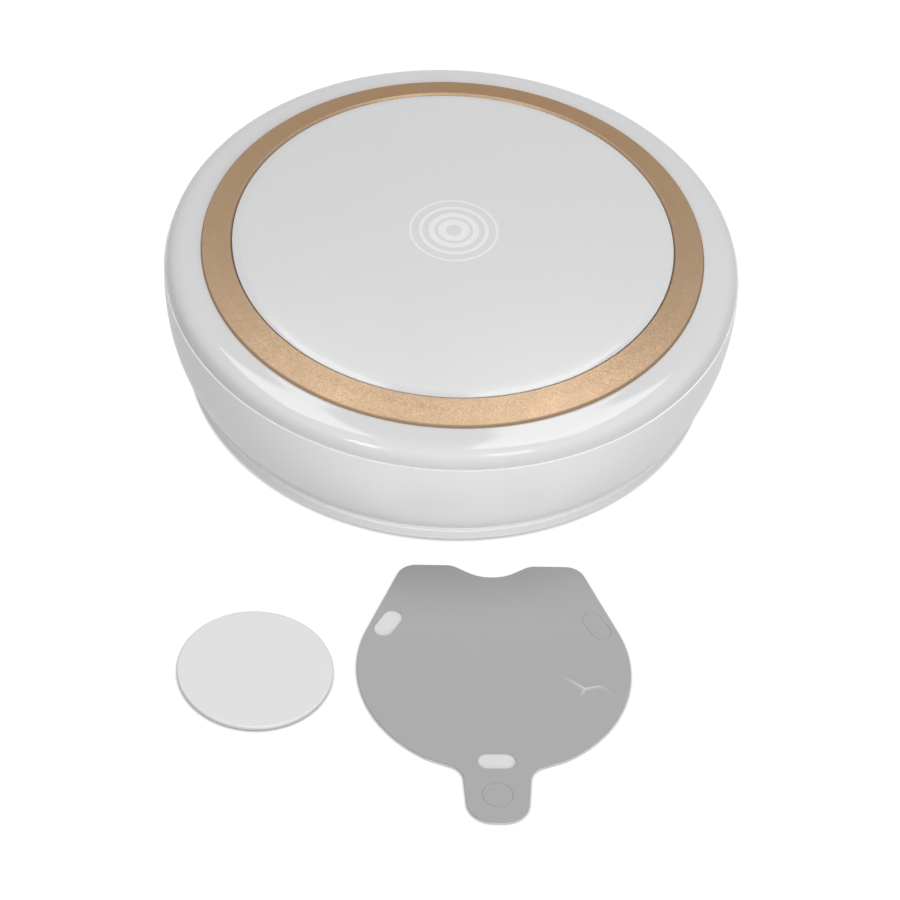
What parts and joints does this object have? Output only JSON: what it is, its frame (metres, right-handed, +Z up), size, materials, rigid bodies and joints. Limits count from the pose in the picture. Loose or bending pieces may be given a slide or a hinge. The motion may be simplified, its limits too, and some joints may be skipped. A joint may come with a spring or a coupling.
{
  "type": "night light",
  "caption": "Round rechargeable touch night light with an opal top, a gold ring and a tapered white base, with its iron mounting disc and die-cut adhesive sheet lying in front.",
  "frame": {"origin": "centre of the lamp's underside, on the lamp's axis and on the surface that it stands on", "axes": "+Z up along the lamp's axis, +Y towards the rear wall with the charging socket, -Y towards the disc and the sheet in front, +X to the right seen from the front"},
  "size_m": [0.1152, 0.1823, 0.0344],
  "materials": {
    "opal_plastic": "glossy opal white moulding",
    "gold_paint": "champagne gold metallic paint with fine flake",
    "shell_plastic": "satin white moulding",
    "base_plastic": "satin white moulding",
    "reflector_plastic": "matt bright white moulding",
    "white_board": "white solder mask",
    "led_package": "yellow phosphor in a white package",
    "copper_foil": "bare copper foil",
    "plated_steel": "nickel plated",
    "cell_wrap": "blue shrink film",
    "foam_tape": "white foam with adhesive faces",
    "red_jacket": "smooth wire jacket",
    "black_jacket": "smooth wire jacket",
    "green_board": "green solder mask",
    "chip_epoxy": "moulded black epoxy",
    "knob_plastic": "fine matt black moulding",
    "clear_plastic": "clear light pipe",
    "iron_paint": "white powder coat",
    "release_film": "pale coated film",
    "adhesive_film": "grey film with adhesive"
  },
  "bodies": {
    "lamp": {"base_cover": "base_plastic", "base_magnet": "plated_steel", "lower_shell": "shell_plastic", "top_diffuser": "opal_plastic", "trim_ring": "gold_paint", "reflector_pan": "reflector_plastic", "led_board": "white_board", "led_01": "led_package", "led_02": "led_package", "led_03": "led_package", "led_04": "led_package", "led_05": "led_package", "led_06": "led_package", "led_07": "led_package", "led_08": "led_package", "led_09": "led_package", "led_10": "led_package", "led_11": "led_package", "led_12": "led_package", "touch_electrode": "copper_foil", "touch_spring": "plated_steel", "battery_cell": "cell_wrap", "battery_pad": "foam_tape", "battery_lead_red": "red_jacket", "battery_lead_black": "black_jacket", "led_lead_red": "red_jacket", "led_lead_black": "black_jacket", "control_board": "green_board", "control_chip": "chip_epoxy", "charge_socket": "plated_steel", "switch_body": "plated_steel", "indicator_led": "led_package", "indicator_lens": "clear_plastic", "base_screw_1": "plated_steel", "base_screw_2": "plated_steel", "base_screw_3": "plated_steel", "base_screw_4": "plated_steel", "board_screw_1": "plated_steel", "board_screw_2": "plated_steel", "board_screw_3": "plated_steel", "board_screw_4": "plated_steel", "control_screw_1": "plated_steel", "control_screw_2": "plated_steel"},
    "power_knob": {"switch_slider": "knob_plastic"},
    "loose_disc": {"mounting_disc": "iron_paint", "disc_adhesive": "foam_tape"},
    "loose_sheet": {"sheet_liner": "release_film", "adhesive_sheet": "adhesive_film", "slot_slug": "adhesive_film", "tab_slug": "adhesive_film"}
  },
  "joints": [
    {"name": "power_switch_slide", "type": "slide", "parent": "lamp", "child": "power_knob", "axis": [1, 0, 0], "range_m": [0, 0.0025]},
    {"name": "disc_lift", "type": "slide", "parent": "lamp", "child": "loose_disc", "axis": [0, 0, 1], "range_m": [0, 0.04]},
    {"name": "sheet_lift", "type": "slide", "parent": "lamp", "child": "loose_sheet", "axis": [0, 0, 1], "range_m": [0, 0.04]}
  ]
}
